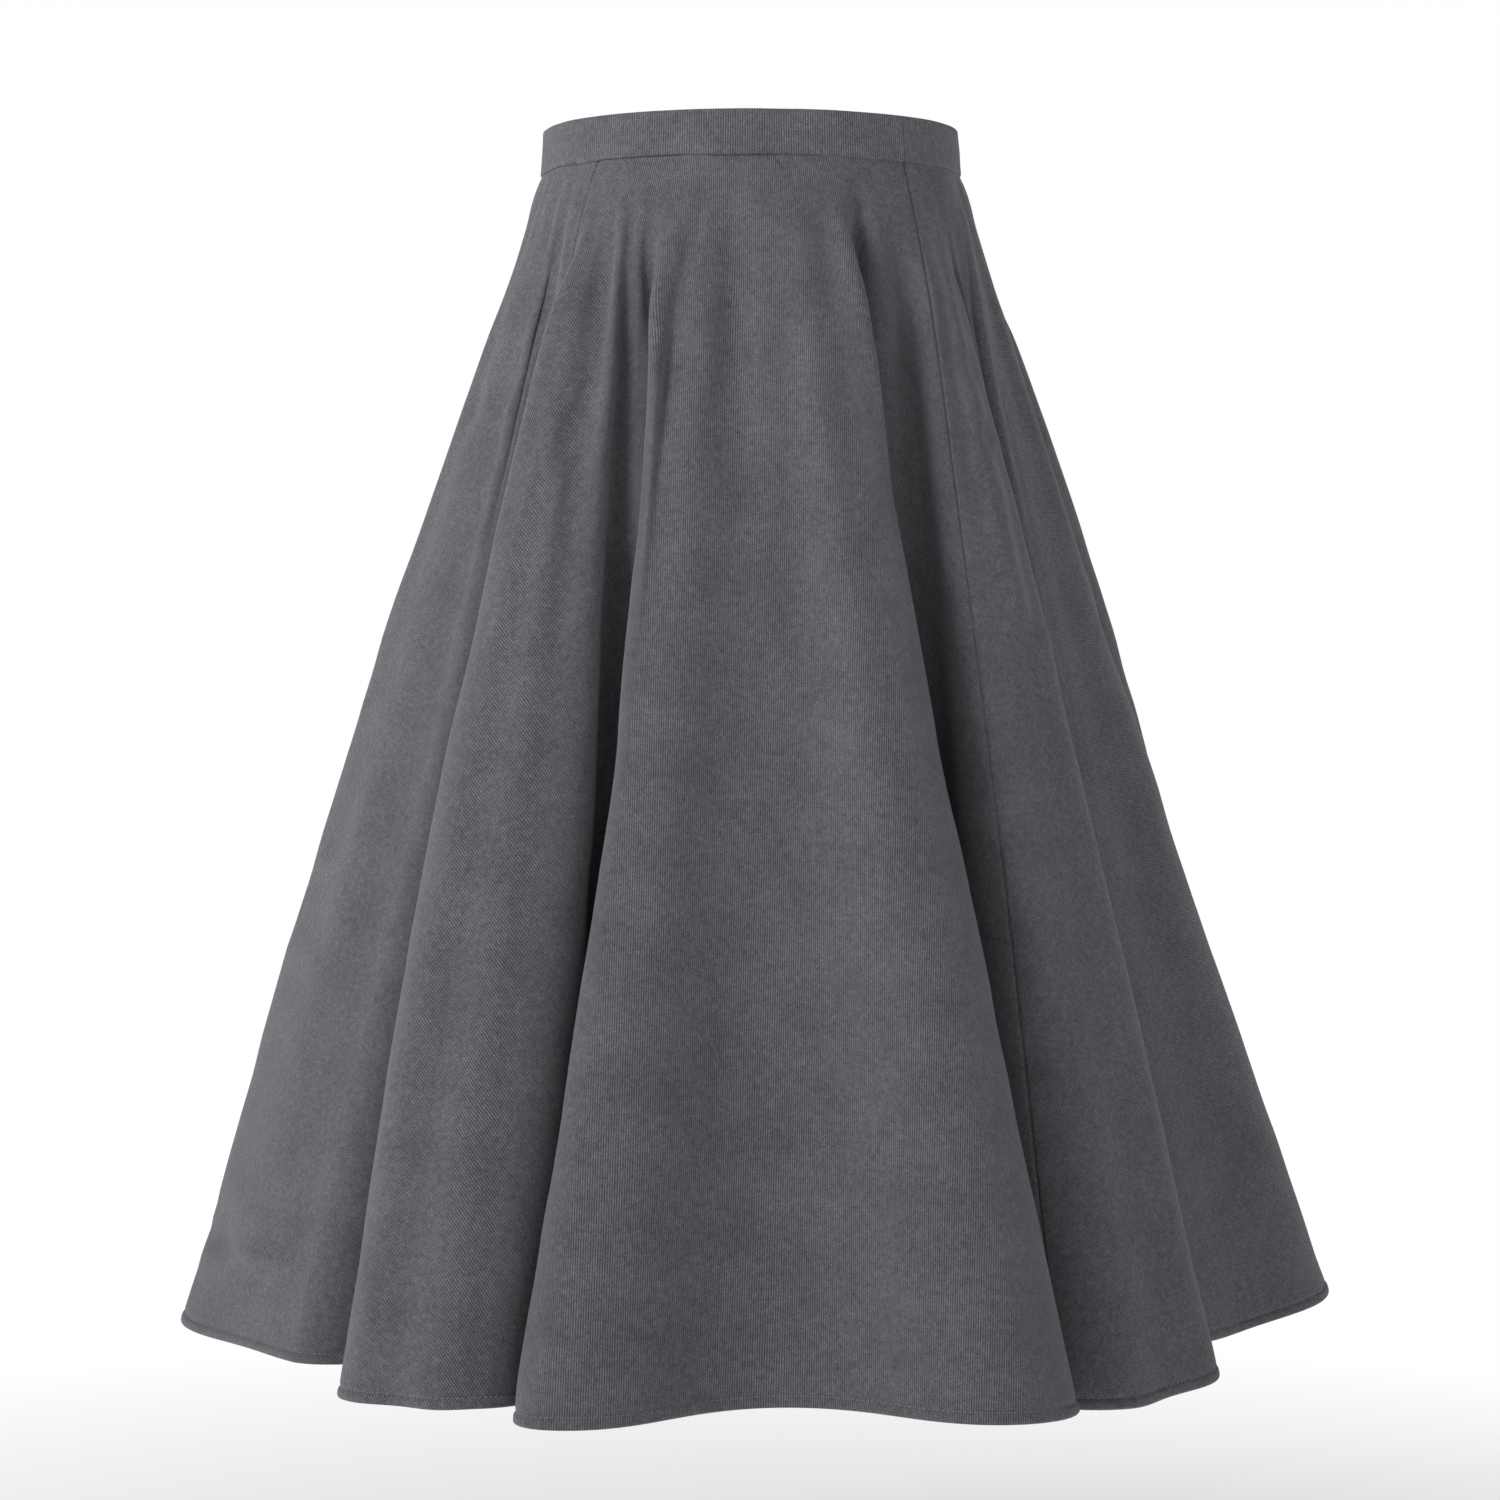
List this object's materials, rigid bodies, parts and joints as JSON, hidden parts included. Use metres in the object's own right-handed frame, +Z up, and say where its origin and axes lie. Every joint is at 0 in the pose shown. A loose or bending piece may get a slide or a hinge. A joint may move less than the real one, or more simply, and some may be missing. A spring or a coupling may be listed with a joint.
{
  "type": "circle skirt",
  "caption": "Midi circle skirt in fine grey needlecord, worn shape with no wearer, in deep hanging flutes under a straight waistband.",
  "frame": {"origin": "the middle of the waistband ring, at mid height of the band, where the wearer's waist holds it", "axes": "+Z up out of the waist; the front faces -Y; the wearer's left, with the zip seam, is +X"},
  "size_m": [0.7301, 0.6323, 0.7534],
  "materials": {
    "cord": "fine needlecord with a soft nap",
    "band_cord": "fine needlecord, wales upright",
    "zip": "woven zip tape with a nylon coil"
  },
  "bodies": {
    "root": {"front_panel": "cord", "back_panel_left": "cord", "back_panel_right": "cord", "waistband": "band_cord", "side_zip": "zip"}
  },
  "joints": []
}
